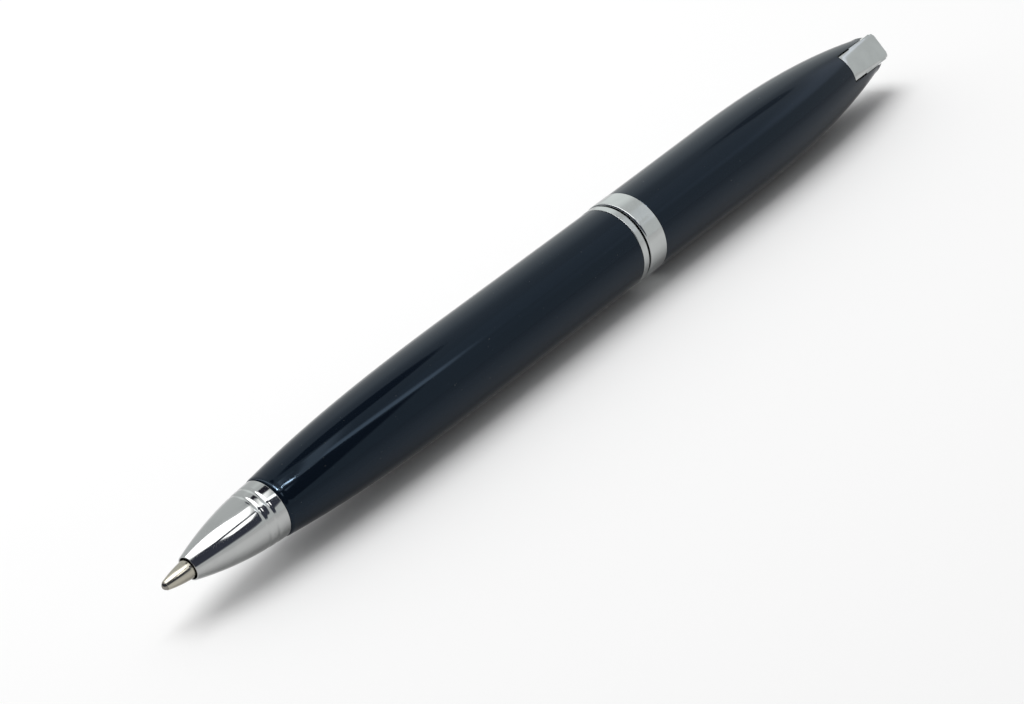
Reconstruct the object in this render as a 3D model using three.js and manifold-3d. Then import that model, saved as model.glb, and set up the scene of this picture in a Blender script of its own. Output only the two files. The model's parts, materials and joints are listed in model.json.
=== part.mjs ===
// Twist-action metal ballpoint pen, as an assembly of its real pieces.
// Millimetres. Each piece is made in the pen's own frame: X runs along the pen, from the front of the
// writing ball towards the clip end, and +Z points at the press plate. The whole pen is then rolled
// about X onto its belly and the edge of its clip, which is how it lies on a table.

import * as THREE from 'three'
import { mergeVertices } from 'three/addons/utils/BufferGeometryUtils.js'
import Module from 'manifold-3d'

const wasm = await Module()
wasm.setup()

// Turning quality
const SIDES = 36          // flats around a turned piece
const SMALL_SIDES = 20    // flats around the writing tip and the ball

// Fits between pieces
const PRESS_GAP = 0.05    // radial, between pieces pressed or screwed together
const RUN_GAP = 0.07      // radial, between pieces that turn or slide on each other
const FACE_GAP = 0.02     // along the pen, between shoulders that meet
const SEAT_GAP = 0.2      // along the pen, in front of a piece that only rests on its seat

// Writing ball and tip
const ballRadius = 0.5
const lipBack = 0.38      // front of the ball to the lip that holds it
const lipWall = 0.06
const tipBaseAt = 3.05    // where the tip's cone ends
const tipRadius = 1.15
const tipLength = 9
const inkBore = 0.3

// Refill behind the tip
const holderFront = 7.8
const holderRadius = 1.6
const shoulderAt = 22     // the spring pushes here
const shoulderRadius = 2.5
const shoulderLength = 2
const tubeRadius = 2.95
const tubeWall = 0.35
const tubeLength = 68
const spigotLength = 3    // holder's and plug's spigots inside the tube
const plugLength = 3.6
const stubRadius = 1.5
const stubLength = 2.4
const ribDepth = 0.5

// Nose cone
const tipReach = 3.8      // how far the ball stands out of the nose
const noseLength = 11.85
const noseRimRadius = 1.5
const noseSwellAt = 5.8   // control point of the nose's curve, from the rim
const noseSwellRadius = 3.45
const noseBaseRadius = 3.7
const grooveBacks = [3.01, 1.6]   // grooves, measured forward from the base
const grooveHalfWidth = 0.14
const grooveDepth = 0.09
const noseBore = 1.25
const noseBoreLength = 3.7
const noseChamber = 1.85
const springLedgeAt = 9.2 // from the rim to the ledge that the spring stands on
const springChamber = 2.55
const spigotWall = 0.55

// Return spring
const returnWire = 0.2    // wire radius
const returnCoil = 2.12   // radius to the wire's centre
const returnCurls = 7

// Lower barrel
const lowerLength = 61.65
const lowerFrontRadius = 3.73
const lowerBellyAt = 34.4 // from the nose to the widest place
const lowerBellyRadius = 5.49
const lowerEndRadius = 5.45
const lowerBoreCone = 13  // length of the cone between the front bore and the main bore
const mainBore = 4.55
const neckRadius = 5
const lowerNeckLength = 0.85

// Trim ring, split and band
const trimWidth = 0.95
const trimRadius = 5.5
const splitGap = 0.25
const bandWidth = 3.3
const bandRadius = 5.6
const bandChamfer = 0.35
const trimChamfer = 0.08
const upperNeckSetback = 0.25

// Upper barrel
const upperFrontRadius = 5.57
const upperBellyAt = 20.2
const upperBellyRadius = 5.7
const domeLength = 3.2
const domeRadius = 2.85
const mechanismBore = 4.6
const seatBore = 3.1
const seatBoreCone = 3.5
const seatBoreLength = 9.05
const slotDepth = 10.55   // fork slot, from the domed end
const slotHalfWidth = 2.2
const armSlotLength = 4.4 // the slot runs on this far under the clip's arm
const armSlotFloor = 3.45

// Mechanism
const insertLength = 14.5
const insertBore = 3.95
const stubThreadLength = 11.2
const guideBore = 3.3
const guideRadius = 3.7
const collarLength = 6.3
const ringGrooveAt = 2.8  // from the collar's front
const ringSection = 0.22
const ringGrooveWidth = 0.7
const camWall = 0.75
const travel = 6          // refill stroke for half a turn
const pegBack = 4.6       // carrier's front to the peg
const pegRadius = 0.7
const pegClearance = 0.12
const carrierLength = 8.4
const carrierRadius = 3.2
const carrierSpare = 0.7  // room left behind the carrier when the tip is in
const mechanismPlugLength = 2.5
const hubLength = 0.6

// Clip
const plateLength = 9.85
const plateHalfWidth = 1.985
const plateThickness = 0.75
const plateFrontHeight = 3.95
const plateRearHeight = 1.97
const plateCrown = 0.42   // how far the front edge's ends drop
const plateCorner = 0.6
const webFront = 3.07     // from the plate's front edge to the web
const webRearBack = 0.9   // from the plate's rear edge back to the web
const webSideGap = 0.08
const webLedge = 0.08     // the web's top below the plate's edge
const armFace = 7.19      // pen axis to the arm's flat outer face
const armThickness = 1
const armBendAt = 19      // plate's rear edge forward to the arm's bend
const armLength = 43      // plate's rear edge forward to the arm's end
const armRootHeight = 2.02
const padAt = 3           // from the arm's end to the pad that touches the barrel
const padGap = 0.1
const leadIn = 0.35
const pinAt = 5.57        // plate's front edge to the pin
const pinHeight = 0.9
const pinRadius = 0.45
const pinSkin = 0.2       // metal left over the ends of the blind pin hole
const pressAngle = 5      // degrees that the clip rocks when its plate is pressed

// Clip seat and spring
const tongueTop = 0.5
const tongueBottom = 1.3
const tongueShort = 0.3   // tongue's end stays this far from the web
const clipWire = 0.15
const clipCoil = 0.75
const clipCurls = 3
const clipSpringAt = 1.5  // plate's front edge to the spring's centre

const ROLL = 55.5         // degrees, from the plate facing up to the pen lying on its clip

// Places along the pen that more than one piece shares
const noseRim = tipReach
const noseBase = noseRim + noseLength
const springLedge = noseRim + springLedgeAt
const noseSpigotEnd = shoulderAt - SEAT_GAP
const lowerEnd = noseBase + lowerLength
const trimEnd = lowerEnd + trimWidth
const bandFront = trimEnd + splitGap
const bandEnd = bandFront + bandWidth
const tubeFront = shoulderAt + shoulderLength
const tubeEnd = tubeFront + tubeLength
const stubFront = tubeEnd + plugLength
const carrierFront = stubFront + SEAT_GAP
const pegAt = carrierFront + pegBack
const collarFront = lowerEnd + lowerNeckLength + PRESS_GAP
const collarEnd = collarFront + collarLength
const camFront = collarEnd + SEAT_GAP
const camEnd = carrierFront + carrierLength + travel + carrierSpare + hubLength
const mechanismBoreEnd = camEnd + mechanismPlugLength + SEAT_GAP
const seatFront = mechanismBoreEnd + seatBoreCone
const slotFront = seatFront + seatBoreLength
const domeEnd = slotFront + slotDepth
const press = THREE.MathUtils.degToRad(pressAngle)
const pressSwing = (plateFrontHeight - pinHeight) * Math.sin(press) - pinAt * (1 - Math.cos(press))
const plateFront = slotFront + pressSwing + RUN_GAP
const plateRear = plateFront + plateLength
const webAt = plateFront + webFront

const materials = {
  lacquer: new THREE.MeshStandardMaterial({ color: 0x1b2331, roughness: 0.2, metalness: 0 }),
  chrome: new THREE.MeshStandardMaterial({ color: 0xc9ccd0, roughness: 0.08, metalness: 1 }),
  nickel: new THREE.MeshStandardMaterial({ color: 0xb5a98c, roughness: 0.25, metalness: 1 }),
  brass: new THREE.MeshStandardMaterial({ color: 0xb9975b, roughness: 0.35, metalness: 1 }),
  steel: new THREE.MeshStandardMaterial({ color: 0x9a9da1, roughness: 0.35, metalness: 1 }),
  rubber: new THREE.MeshStandardMaterial({ color: 0x171718, roughness: 0.8, metalness: 0 }),
  plastic: new THREE.MeshStandardMaterial({ color: 0xd8d8d4, roughness: 0.5, metalness: 0 }),
}

const pen = new THREE.Group()

function add(name, geometry, material) {
  const mesh = new THREE.Mesh(geometry, material)
  mesh.name = name
  pen.add(mesh)
}

// A turned piece about X, from a closed outline of [x, radius] points that runs from the front of the
// bore outwards, along the outside towards the rear, and back through the bore.
function turned(outline, sides = SIDES) {
  const points = outline.map(([x, radius]) => new THREE.Vector2(radius, x))
  const onAxis = outline[0][1] === 0 && outline.at(-1)[1] === 0
  if (!onAxis) points.push(points[0].clone())
  const geometry = new THREE.LatheGeometry(points, sides)
  geometry.rotateZ(-Math.PI / 2)
  return geometry
}

// Radius of an outline of [x, radius] points at one place along it
function radiusAt(outline, x) {
  const next = outline.findIndex((point) => point[0] >= x)
  const [x0, r0] = outline[next - 1]
  const [x1, r1] = outline[next]
  return r0 + (r1 - r0) * (x - x0) / (x1 - x0)
}

function tube(front, rear, inner, outer) {
  return turned([[front, inner], [front, outer], [rear, outer], [rear, inner]])
}

// Points along a curve, as [x, radius] pairs
function along(curve, steps) {
  return curve.getPoints(steps).map((point) => [point.x, point.y])
}

function solid(geometry) {
  const bare = geometry.clone()
  bare.deleteAttribute('normal')
  bare.deleteAttribute('uv')
  const merged = mergeVertices(bare, 1e-4)
  const corners = []
  for (let i = 0; i < merged.index.count; i += 3) {
    const [a, b, c] = merged.index.array.slice(i, i + 3)
    if (a !== b && b !== c && c !== a) corners.push(a, b, c)
  }
  return new wasm.Manifold(new wasm.Mesh({
    numProp: 3,
    vertProperties: new Float32Array(merged.attributes.position.array),
    triVerts: new Uint32Array(corners),
  }))
}

function surface(body) {
  const mesh = body.getMesh()
  const geometry = new THREE.BufferGeometry()
  geometry.setAttribute('position', new THREE.BufferAttribute(mesh.vertProperties, 3))
  geometry.setIndex(new THREE.BufferAttribute(mesh.triVerts, 1))
  return geometry
}

function cut(geometry, cutters) {
  return surface(cutters.reduce((body, cutter) => body.subtract(solid(cutter)), solid(geometry)))
}

function join(geometries) {
  return surface(geometries.map(solid).reduce((body, other) => body.add(other)))
}

// A flat piece: a side outline of [x, z] points, given its width along Y
function slab(outline, halfWidth) {
  const shape = new THREE.Shape(outline.map(([x, z]) => new THREE.Vector2(x, z)))
  const geometry = new THREE.ExtrudeGeometry(shape, { depth: 2 * halfWidth, bevelEnabled: false })
  geometry.rotateX(Math.PI / 2)
  geometry.translate(0, halfWidth, 0)
  return geometry
}

function block(x0, x1, halfWidth, z0, z1) {
  return slab([[x0, z0], [x1, z0], [x1, z1], [x0, z1]], halfWidth)
}

// A closed skin through rings of points that all have the same count, with flat ends
function loft(rings) {
  const count = rings[0].length
  const index = []
  for (let ring = 0; ring < rings.length - 1; ring++) {
    for (let i = 0; i < count; i++) {
      const a = ring * count + i
      const b = ring * count + (i + 1) % count
      index.push(a, b, b + count, a, b + count, a + count)
    }
  }
  const last = (rings.length - 1) * count
  for (let i = 1; i < count - 1; i++) {
    index.push(0, i + 1, i, last, last + i, last + i + 1)
  }
  const geometry = new THREE.BufferGeometry()
  geometry.setAttribute('position', new THREE.Float32BufferAttribute(rings.flat(2), 3))
  geometry.setIndex(index)
  return geometry
}

// A coil spring as one unbroken tube, wound about X, 8 steps of 5 sides a curl. Its least gap to
// itself is measured between the wire's centres one curl apart, and printed.
function coil(name, front, rear, coilRadius, wireRadius, curls) {
  const stepsPerCurl = 8
  const wireSides = 5
  const steps = curls * stepsPerCurl
  const start = front + wireRadius
  const pitch = (rear - front - 2 * wireRadius) / curls
  const centre = (step) => {
    const turn = step / stepsPerCurl
    const angle = 2 * Math.PI * turn
    return new THREE.Vector3(start + pitch * turn, coilRadius * Math.sin(angle), coilRadius * Math.cos(angle))
  }
  const rings = []
  for (let step = 0; step <= steps; step++) {
    const angle = 2 * Math.PI * step / stepsPerCurl
    const outward = new THREE.Vector3(0, Math.sin(angle), Math.cos(angle))
    const ring = []
    for (let side = 0; side < wireSides; side++) {
      const around = 2 * Math.PI * side / wireSides
      const point = centre(step).addScaledVector(outward, wireRadius * Math.cos(around))
      point.x += wireRadius * Math.sin(around)
      ring.push(point.toArray())
    }
    rings.push(ring)
  }
  let least = Infinity
  for (let step = 0; step + stepsPerCurl <= steps; step++) {
    least = Math.min(least, centre(step).distanceTo(centre(step + stepsPerCurl)) - 2 * wireRadius)
  }
  console.log(`${name}: least gap between curls ${least.toFixed(2)} mm`)
  return loft(rings)
}

// Writing ball
const ballGeometry = new THREE.SphereGeometry(ballRadius, SMALL_SIDES, SMALL_SIDES / 2)
ballGeometry.translate(ballRadius, 0, 0)
add('ball', ballGeometry, materials.steel)

// Writing tip: the lip closes over the ball, and the socket behind it clears the ball all round
const lipBore = Math.sqrt(ballRadius ** 2 - (ballRadius - lipBack) ** 2) + 0.01
const socketRadius = ballRadius + RUN_GAP
const socketEnd = 2 * ballRadius + RUN_GAP
const tipCone = new THREE.QuadraticBezierCurve(
  new THREE.Vector2(lipBack, lipBore + lipWall),
  new THREE.Vector2(tipBaseAt * 0.62, tipRadius * 0.96),
  new THREE.Vector2(tipBaseAt, tipRadius),
)
add('writing_tip', turned([
  [lipBack, lipBore],
  ...along(tipCone, 5),
  [tipLength, tipRadius],
  [tipLength, inkBore],
  [socketEnd, inkBore],
  [socketEnd, socketRadius],
  [ballRadius, socketRadius],
], SMALL_SIDES), materials.nickel)

// Refill: the holder grips the tip, and its shoulder takes the spring
const tipGrip = tipRadius + PRESS_GAP
const tipSeat = tipLength + FACE_GAP
const tubeInner = tubeRadius - tubeWall
add('tip_holder', turned([
  [holderFront, tipGrip],
  [holderFront, holderRadius],
  [shoulderAt, holderRadius],
  [shoulderAt, shoulderRadius],
  [tubeFront - FACE_GAP, tubeRadius],
  [tubeFront - FACE_GAP, tubeInner - PRESS_GAP],
  [tubeFront + spigotLength, tubeInner - PRESS_GAP],
  [tubeFront + spigotLength, inkBore],
  [tipSeat, inkBore],
  [tipSeat, tipGrip],
]), materials.brass)
add('refill_tube', tube(tubeFront, tubeEnd, tubeInner, tubeRadius), materials.steel)

// The plug has a waist between two collars, and a stub that the carrier holds
const waistFront = tubeEnd + plugLength / 3
const waistEnd = tubeEnd + 2 * plugLength / 3
add('refill_plug', turned([
  [tubeEnd - spigotLength, 0],
  [tubeEnd - spigotLength, tubeInner - PRESS_GAP],
  [tubeEnd + FACE_GAP, tubeInner - PRESS_GAP],
  [tubeEnd + FACE_GAP, tubeRadius],
  [waistFront, tubeRadius],
  [waistFront, tubeRadius - ribDepth],
  [waistEnd, tubeRadius - ribDepth],
  [waistEnd, tubeRadius],
  [stubFront, tubeRadius],
  [stubFront, stubRadius],
  [stubFront + stubLength, stubRadius],
  [stubFront + stubLength, 0],
]), materials.plastic)

// Carrier: a cup for the plug's stub, and a peg that stands through the guide slot into the cam slot
const camRadius = mechanismBore - PRESS_GAP
const cupEnd = stubFront + stubLength + SEAT_GAP
const cupRadius = stubRadius + PRESS_GAP
const carrierBody = turned([
  [carrierFront, cupRadius],
  [carrierFront, carrierRadius],
  [carrierFront + carrierLength, carrierRadius],
  [carrierFront + carrierLength, 0],
  [cupEnd, 0],
  [cupEnd, cupRadius],
])
const pegTop = camRadius - RUN_GAP
const pegBottom = cupRadius + (carrierRadius - cupRadius) / 2
const peg = new THREE.CylinderGeometry(pegRadius, pegRadius, pegTop - pegBottom, SMALL_SIDES)
peg.rotateX(Math.PI / 2)
peg.translate(pegAt, 0, (pegTop + pegBottom) / 2)
add('refill_carrier', join([carrierBody, peg]), materials.plastic)

// Nose cone: one curve from the rim to the base, with the grooves turned into it
const noseCurve = new THREE.QuadraticBezierCurve(
  new THREE.Vector2(noseRim, noseRimRadius),
  new THREE.Vector2(noseRim + noseSwellAt, noseSwellRadius),
  new THREE.Vector2(noseBase - FACE_GAP, noseBaseRadius),
)
const noseOutside = along(noseCurve, 12)
const grooves = grooveBacks.map((back) => noseBase - back)
const clearOfGrooves = noseOutside.filter(([x]) => (
  grooves.every((at) => Math.abs(x - at) > 2 * grooveHalfWidth)))
const groovePoints = grooves.flatMap((at) => [-1, 0, 1].map((side) => {
  const x = at + side * grooveHalfWidth
  return [x, radiusAt(noseOutside, x) - (side === 0 ? grooveDepth : 0)]
}))
const noseProfile = [...clearOfGrooves, ...groovePoints].sort((a, b) => a[0] - b[0])
const spigotRadius = springChamber + spigotWall
add('nose_cone', turned([
  [noseRim, noseBore],
  ...noseProfile,
  [noseBase - FACE_GAP, spigotRadius],
  [noseSpigotEnd, spigotRadius],
  [noseSpigotEnd, springChamber],
  [springLedge, springChamber],
  [springLedge, noseChamber],
  [noseRim + noseBoreLength, noseChamber],
  [noseRim + noseBoreLength, noseBore],
]), materials.chrome)

// Return spring, between the ledge in the nose and the refill's shoulder
const springFront = springLedge + FACE_GAP
const springRear = shoulderAt - FACE_GAP
const returnSpring = coil('return_spring', springFront, springRear, returnCoil, returnWire, returnCurls)
add('return_spring', returnSpring, materials.steel)

// Lower barrel: swells to its belly, then runs nearly straight to the neck that holds the trim ring
const frontBore = spigotRadius + PRESS_GAP
const frontBoreEnd = noseSpigotEnd + SEAT_GAP
const lowerBelly = noseBase + lowerBellyAt
const lowerCurve = new THREE.CubicBezierCurve(
  new THREE.Vector2(noseBase, lowerFrontRadius),
  new THREE.Vector2(noseBase + lowerBellyAt * 0.243, lowerFrontRadius + 1.12),
  new THREE.Vector2(noseBase + lowerBellyAt * 0.533, lowerBellyRadius),
  new THREE.Vector2(lowerBelly, lowerBellyRadius),
)
add('lower_barrel', turned([
  [noseBase, frontBore],
  ...along(lowerCurve, 12),
  [lowerEnd, lowerEndRadius],
  [lowerEnd, neckRadius],
  [lowerEnd + lowerNeckLength, neckRadius],
  [lowerEnd + lowerNeckLength, mainBore],
  [frontBoreEnd + lowerBoreCone, mainBore],
  [frontBoreEnd, frontBore],
]), materials.lacquer)

add('lower_trim_ring', turned([
  [lowerEnd + FACE_GAP, neckRadius + PRESS_GAP],
  [lowerEnd + FACE_GAP, trimRadius - trimChamfer],
  [lowerEnd + FACE_GAP + trimChamfer, trimRadius],
  [trimEnd - trimChamfer, trimRadius],
  [trimEnd, trimRadius - trimChamfer],
  [trimEnd, neckRadius + PRESS_GAP],
]), materials.chrome)

// Brass insert in the lower barrel's rear end
const insertEnd = lowerEnd + lowerNeckLength
const insert = tube(insertEnd - insertLength, insertEnd, insertBore, mainBore - PRESS_GAP)
add('threaded_insert', insert, materials.brass)

// Guide sleeve: screwed stub, bearing collar with the ring's groove, and the tube with a straight slot
const collarRadius = mechanismBore - RUN_GAP
const grooveFront = collarFront + ringGrooveAt
const grooveEnd = grooveFront + ringGrooveWidth
const grooveFloor = collarRadius - 2 * ringSection - PRESS_GAP
const guideEnd = camEnd - SEAT_GAP
const guideBody = turned([
  [insertEnd - stubThreadLength, guideBore],
  [insertEnd - stubThreadLength, insertBore - PRESS_GAP],
  [collarFront, insertBore - PRESS_GAP],
  [collarFront, collarRadius],
  [grooveFront, collarRadius],
  [grooveFront, grooveFloor],
  [grooveEnd, grooveFloor],
  [grooveEnd, collarRadius],
  [collarEnd, collarRadius],
  [collarEnd, guideRadius],
  [guideEnd, guideRadius],
  [guideEnd, guideBore],
])
const pegSlot = pegRadius + pegClearance
const guideSlot = block(pegAt - pegSlot, pegAt + travel + pegSlot, pegSlot, 0, camRadius)
add('guide_sleeve', cut(guideBody, [guideSlot]), materials.steel)

// Friction ring in the collar's groove
const ringCentre = collarRadius - ringSection
const ringOutline = [0, 1, 2, 3, 4, 5].map((corner) => {
  const angle = Math.PI / 3 * corner
  const x = (grooveFront + grooveEnd) / 2 - ringSection * Math.sin(angle)
  return [x, ringCentre - ringSection * Math.cos(angle)]
})
add('friction_ring', turned(ringOutline), materials.rubber)

// Cam sleeve: the helical slot carries the peg back by the travel in half a turn
const camInner = camRadius - camWall
const slotSteps = 18
const slotHalf = pegSlot / Math.cos(Math.atan(travel / (Math.PI * camInner)))
const overrun = pegSlot / camInner
const helixRings = []
for (let step = 0; step <= slotSteps; step++) {
  const angle = -overrun + (Math.PI + 2 * overrun) * step / slotSteps
  const x = pegAt + travel * THREE.MathUtils.clamp(angle, 0, Math.PI) / Math.PI
  const ring = [[-slotHalf, carrierRadius], [-slotHalf, mechanismBore + 1], [slotHalf, mechanismBore + 1],
    [slotHalf, carrierRadius]]
  helixRings.push(ring.map(([dx, radius]) => [x + dx, radius * Math.sin(angle), radius * Math.cos(angle)]))
}
add('cam_sleeve', cut(tube(camFront, camEnd, camInner, camRadius), [loft(helixRings)]), materials.brass)

// Plug behind the mechanism, whose hub carries the guide sleeve's end
const hubRadius = guideBore - RUN_GAP
add('mechanism_plug', turned([
  [camEnd - hubLength, 0],
  [camEnd - hubLength, hubRadius],
  [camEnd + FACE_GAP, hubRadius],
  [camEnd + FACE_GAP, camRadius],
  [camEnd + mechanismPlugLength, camRadius],
  [camEnd + mechanismPlugLength, 0],
]), materials.plastic)

// Upper barrel: a shell of revolution with the fork slot, the arm's slot and the blind pin hole cut in it
const upperBelly = bandEnd + upperBellyAt
const domeFront = domeEnd - domeLength
const taperLength = domeFront - upperBelly
const upperCurve = new THREE.CubicBezierCurve(
  new THREE.Vector2(upperBelly, upperBellyRadius),
  new THREE.Vector2(upperBelly + taperLength * 0.436, upperBellyRadius + 0.04),
  new THREE.Vector2(upperBelly + taperLength * 0.732, domeRadius + 1.85),
  new THREE.Vector2(domeFront, domeRadius),
)
const domeCurve = new THREE.EllipseCurve(domeFront, 0, domeLength, domeRadius, Math.PI / 2, 0, true)
const upperNeck = bandFront + upperNeckSetback
const upperOutside = [...along(upperCurve, 12), ...along(domeCurve, 5).slice(1, -1)]
const upperShell = turned([
  [upperNeck, mechanismBore],
  [upperNeck, neckRadius],
  [bandEnd + FACE_GAP, neckRadius],
  [bandEnd + FACE_GAP, upperFrontRadius],
  ...upperOutside,
  [domeEnd, 0],
  [slotFront, 0],
  [slotFront, seatBore],
  [seatFront, seatBore],
  [mechanismBoreEnd, mechanismBore],
])
const pinX = plateFront + pinAt
const pinHoleRadius = pinRadius + PRESS_GAP
const hornRadius = radiusAt(upperOutside, pinX + pinHoleRadius)
const pinReach = Math.sqrt(hornRadius ** 2 - (pinHeight + pinHoleRadius) ** 2) - pinSkin
function crossPin(radius, reach) {
  const cylinder = new THREE.CylinderGeometry(radius, radius, 2 * reach, SMALL_SIDES)
  cylinder.translate(pinX, 0, pinHeight)
  return cylinder
}
const pinHole = crossPin(pinHoleRadius, pinReach + FACE_GAP)
const beyond = 2 * upperBellyRadius
const forkSlot = block(slotFront - FACE_GAP, domeEnd + 1, slotHalfWidth, -beyond, beyond)
const armSlot = block(slotFront - armSlotLength, slotFront + 1, slotHalfWidth, -beyond, -armSlotFloor)
add('upper_barrel', cut(upperShell, [forkSlot, armSlot, pinHole]), materials.lacquer)

add('centre_band', turned([
  [bandFront, neckRadius + PRESS_GAP],
  [bandFront, bandRadius - bandChamfer],
  [bandFront + bandChamfer, bandRadius],
  [bandEnd - trimChamfer, bandRadius],
  [bandEnd, bandRadius - trimChamfer],
  [bandEnd, neckRadius + PRESS_GAP],
]), materials.chrome)

// Clip seat: a plug with a tongue that lies in the fork under the press plate
const seatEnd = slotFront - PRESS_GAP
const seatPlug = turned([
  [seatFront + SEAT_GAP, 0],
  [seatFront + SEAT_GAP, seatBore - PRESS_GAP],
  [seatEnd, seatBore - PRESS_GAP],
  [seatEnd, 0],
])
const tongueEnd = webAt - tongueShort
const tongue = block(seatEnd - 1, tongueEnd, slotHalfWidth - webSideGap, -tongueBottom, tongueTop)
add('clip_seat', join([seatPlug, tongue]), materials.brass)

// Height of the press plate's middle line and drop of its edges, along the pen
function plateHeight(x) {
  return THREE.MathUtils.mapLinear(x, plateFront, plateRear, plateFrontHeight, plateRearHeight)
}
function plateDrop(x) {
  return plateCrown * Math.max(0, 1 - (x - plateFront) / plateLength) ** 1.5
}

// Press plate: crowned like the barrel at its front edge and flat at its rear, with rounded rear corners
const cornerFront = plateRear - plateCorner
const plateStations = [0, 0.25, 0.5, 0.75, 1].map((share) => [
  plateFront + (cornerFront - plateFront) * share,
  plateHalfWidth,
])
for (const angle of [30, 60, 90].map(THREE.MathUtils.degToRad)) {
  plateStations.push([
    cornerFront + plateCorner * Math.sin(angle),
    plateHalfWidth - plateCorner * (1 - Math.cos(angle)),
  ])
}
const crownSteps = 6
const plateRings = plateStations.map(([x, halfWidth]) => {
  const under = plateHeight(x) - plateThickness
  const ring = [[x, -halfWidth, under], [x, halfWidth, under]]
  for (let step = 0; step <= crownSteps; step++) {
    const y = halfWidth * (1 - 2 * step / crownSteps)
    ring.push([x, y, plateHeight(x) - plateDrop(x) * (y / plateHalfWidth) ** 2])
  }
  return ring
})
const plate = loft(plateRings)

// Web, and the arm on the far side, which bends to lie along the barrel and ends in a pad and a lead-in
const webRear = plateRear - webRearBack
const webTop = (x) => plateHeight(x) - plateDrop(x) - webLedge
const armRise = (armFace - armRootHeight) / (armBendAt - webRearBack)
const armBend = plateRear - armBendAt
const armEnd = plateRear - armLength
const armDepth = armThickness * Math.hypot(1, armRise)
const armTop = armFace - armThickness
const webFoot = armFace - armRise * (webAt - armBend) - armDepth
const web = slab([
  [webAt, -webFoot],
  [webRear, -armRootHeight + 0.1],
  [webRear, webTop(webRear)],
  [webAt, webTop(webAt)],
], slotHalfWidth - webSideGap)
const pad = upperBellyRadius + padGap
const arm = slab([
  [armEnd + leadIn, -armFace],
  [armBend, -armFace],
  [webRear, -armRootHeight],
  [webRear, -armRootHeight + armDepth],
  [webAt, -webFoot + armDepth / 2],
  [webAt, -webFoot],
  [armBend, -armTop],
  [armEnd + 2 * padAt, -armTop],
  [armEnd + padAt + leadIn, -pad],
  [armEnd + padAt - leadIn, -pad],
  [armEnd, -armTop],
  [armEnd, -armFace + leadIn],
], plateHalfWidth)
const clipPinHole = crossPin(pinRadius + RUN_GAP, pinReach + 1)
add('clip', cut(join([plate, web, arm]), [clipPinHole]), materials.chrome)
add('clip_pin', crossPin(pinRadius, pinReach), materials.steel)

// Clip spring, standing on the tongue under the press plate
const clipSpringX = plateFront + clipSpringAt
const clipSpringTop = plateHeight(clipSpringX + clipCoil) - plateThickness - FACE_GAP
const clipSpring = coil('clip_spring', tongueTop + FACE_GAP, clipSpringTop, clipCoil, clipWire, clipCurls)
clipSpring.rotateY(-Math.PI / 2)
clipSpring.translate(clipSpringX, 0, 0)
add('clip_spring', clipSpring, materials.steel)

// The pen's origin is the middle of its footprint, on the surface that it lies on
pen.rotation.x = THREE.MathUtils.degToRad(ROLL)
pen.updateMatrixWorld(true)
const footprint = new THREE.Box3().setFromObject(pen, true)
pen.position.set(
  -(footprint.min.x + footprint.max.x) / 2,
  -(footprint.min.y + footprint.max.y) / 2,
  -footprint.min.z,
)

export default pen
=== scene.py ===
# %% [markdown]
# # A twist pen, dressed for the camera
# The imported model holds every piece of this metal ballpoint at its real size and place. This lesson gives
# each piece that shows a fine surface and a finish. The frame is loaded first, and everything after it is
# made in metres in that same frame.

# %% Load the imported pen
import json
import math

import bmesh
import bpy
from mathutils import Matrix, Quaternion, Vector


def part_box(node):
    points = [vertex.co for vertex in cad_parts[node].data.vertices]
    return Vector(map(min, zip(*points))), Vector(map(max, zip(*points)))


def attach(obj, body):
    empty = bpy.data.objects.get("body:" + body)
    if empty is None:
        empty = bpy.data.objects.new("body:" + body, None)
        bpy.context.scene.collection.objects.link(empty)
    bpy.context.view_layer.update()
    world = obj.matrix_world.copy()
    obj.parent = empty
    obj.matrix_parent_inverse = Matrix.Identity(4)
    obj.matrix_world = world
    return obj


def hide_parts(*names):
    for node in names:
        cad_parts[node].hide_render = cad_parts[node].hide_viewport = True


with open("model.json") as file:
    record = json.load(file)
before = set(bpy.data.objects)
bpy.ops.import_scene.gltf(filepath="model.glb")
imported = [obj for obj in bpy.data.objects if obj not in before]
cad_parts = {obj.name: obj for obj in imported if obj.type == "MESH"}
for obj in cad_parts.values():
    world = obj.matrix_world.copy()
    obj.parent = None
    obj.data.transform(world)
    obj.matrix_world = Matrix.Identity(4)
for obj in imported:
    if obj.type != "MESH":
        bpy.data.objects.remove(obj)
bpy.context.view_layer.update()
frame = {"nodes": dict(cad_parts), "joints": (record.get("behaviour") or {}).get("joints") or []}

# %% [markdown]
# A pen is easiest to draw along its own axis. Here X runs from the front of the writing ball to the clip
# end, and Z points at the press plate, in millimetres. The real pen lies rolled over onto its clip, so one
# matrix takes a finished mesh from the pen's own frame into the room. Its numbers come from the packed
# model: the axis is the middle of the round centre band, and the clip's joint gives the roll.

# %% The pen's own frame
MM = 0.001
band_low, band_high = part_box("centre_band")
ball_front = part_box("ball")[0].x
axis_point = Vector((ball_front, *((band_low + band_high) / 2).yz))
clip_joint = next(joint for joint in frame["joints"] if joint["name"] == "clip_rock")
side_axis = -Vector(clip_joint["axis"])
ROLL = math.atan2(side_axis.z, side_axis.y)
PEN = Matrix.Translation(axis_point) @ Matrix.Rotation(ROLL, 4, "X") @ Matrix.Scale(MM, 4)
print("pen axis at", axis_point, "rolled by", round(math.degrees(ROLL), 2), "degrees")


def along_pen(node):
    """Where a CAD node starts and ends along the pen, in millimetres from the front of the ball."""
    low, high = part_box(node)
    return (low.x - ball_front) / MM, (high.x - ball_front) / MM


# %% [markdown]
# The camera comes before anything that is dressed, because it decides what has to look right. It stands
# low in front of the writing end and looks along the pen, so the nose is near and the clip end is far.
# The lens is a short telephoto, and the camera is tilted to the side as a hand-held one is.

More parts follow.
